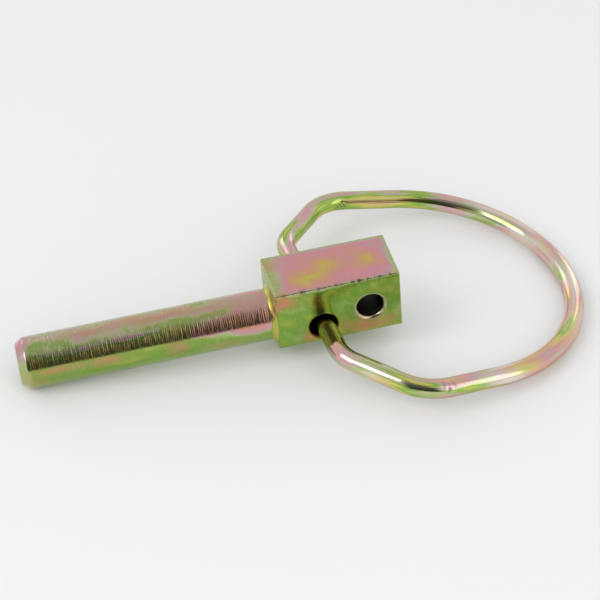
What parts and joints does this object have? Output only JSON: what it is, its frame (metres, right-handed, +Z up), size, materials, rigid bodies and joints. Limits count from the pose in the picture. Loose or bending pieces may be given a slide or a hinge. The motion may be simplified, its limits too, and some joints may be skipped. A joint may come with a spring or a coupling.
{
  "type": "lynch pin",
  "caption": "Lynch pin with a round chamfered shank on a square cross-drilled head, and a bent wire bail hinged through the head that swings over to keep the pin in its hole.",
  "frame": {"origin": "the plane of the shoulder under the head, on the shank's axis", "axes": "+X along the shank from the tip towards the head, +Y away from the viewer along the cross holes, +Z up"},
  "size_m": [0.1422, 0.0814, 0.0261],
  "materials": {
    "pin_steel": "satin",
    "bail_wire": "gloss"
  },
  "bodies": {
    "pin": {"pin": "pin_steel"},
    "bail": {"bail": "bail_wire"}
  },
  "joints": [
    {"name": "bail_swing", "type": "hinge", "parent": "pin", "child": "bail", "pos_m": [0.0115, 0.0016, -0.0021], "axis": [0.0801, -0.996, -0.0402], "range_deg": [-163, 180]}
  ]
}
